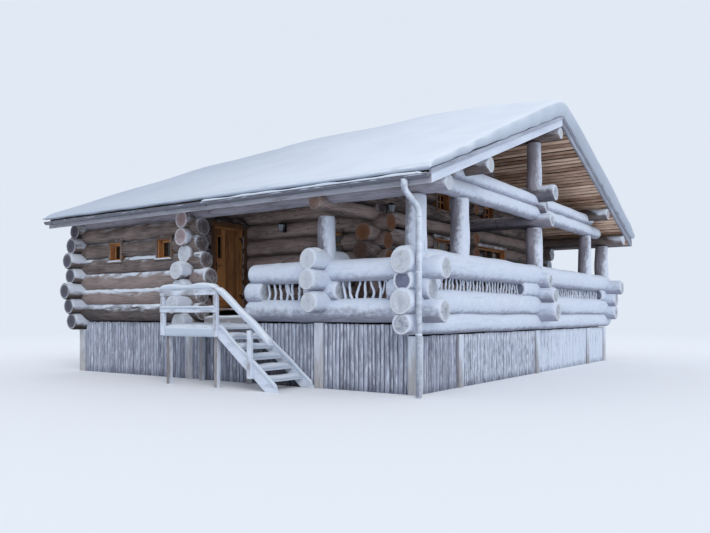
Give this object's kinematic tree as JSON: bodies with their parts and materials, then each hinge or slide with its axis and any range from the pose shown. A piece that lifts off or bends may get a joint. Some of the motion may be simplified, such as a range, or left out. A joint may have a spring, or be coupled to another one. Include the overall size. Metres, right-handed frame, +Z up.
{
  "type": "round-log chalet with covered terrace",
  "caption": "Snow-covered round-log chalet with a covered gable terrace, roofed side gallery, hinged entrance door and outside stair.",
  "frame": {"origin": "on the ground under the middle of the whole building", "axes": "+Z up, +X along the eaves towards the terrace gable, +Y across the gable from the stair side to the back"},
  "size_m": [11.271, 14.114, 7.1171],
  "materials": {
    "frosted_log": "frosted weathered round logs",
    "sheltered_log": "grey-brown weathered round logs",
    "pier_timber": "pale weathered squared timber",
    "skirting_board": "half-round slab boards, weathered and frosted",
    "floor_plank": "sawn planks",
    "pine_joinery": "oiled knotty pine, satin",
    "roof_lining": "warm brown lining boards",
    "edge_board": "frosted boards",
    "twig": "debarked bent twigs with frost",
    "stair_timber": "planed planks under frost",
    "window_glass": "clear glass, dark room behind",
    "metal": "grey painted sheet with frost",
    "handle_metal": "black forged lever",
    "snow": "settled dry snow, matt and soft"
  },
  "bodies": {
    "house": {"corner_piers": "pier_timber", "front_skirting": "skirting_board", "terrace_skirting": "skirting_board", "rear_skirting": "skirting_board", "terrace_deck": "floor_plank", "house_floor": "floor_plank", "front_wall": "frosted_log", "entrance_wall": "frosted_log", "entrance_lintel": "sheltered_log", "gallery_wall": "sheltered_log", "terrace_wall": "sheltered_log", "terrace_gable": "sheltered_log", "left_wall": "frosted_log", "left_gable": "frosted_log", "back_wall": "frosted_log", "door_frame": "pine_joinery", "front_window_frames": "pine_joinery", "terrace_window_frames": "pine_joinery", "rear_window_frames": "pine_joinery", "window_glass": "window_glass", "front_rail_logs": "frosted_log", "terrace_rail_logs": "frosted_log", "back_rail_logs": "frosted_log", "crossing_stubs": "frosted_log", "front_balusters": "twig", "terrace_balusters": "twig", "terrace_posts": "frosted_log", "king_post": "frosted_log", "truss_ties": "frosted_log", "centre_beams": "frosted_log", "purlins": "frosted_log", "roof_front": "roof_lining", "roof_back": "roof_lining", "barge_boards": "edge_board", "eave_fascias": "edge_board", "gutter": "metal", "downpipe": "metal", "lanterns": "metal", "landing": "stair_timber", "stair_treads": "stair_timber", "stair_stringers": "stair_timber", "stair_railing": "stair_timber", "roof_snow_front": "snow", "roof_snow_back": "snow"},
    "door": {"entrance_door": "pine_joinery", "door_glass": "window_glass", "door_handle": "handle_metal"}
  },
  "joints": [
    {"name": "door_hinge", "type": "hinge", "parent": "house", "child": "door", "pos_m": [-0.921, -4.313, 2.6], "axis": [0, 0, 1], "range_deg": [0, 90]}
  ]
}
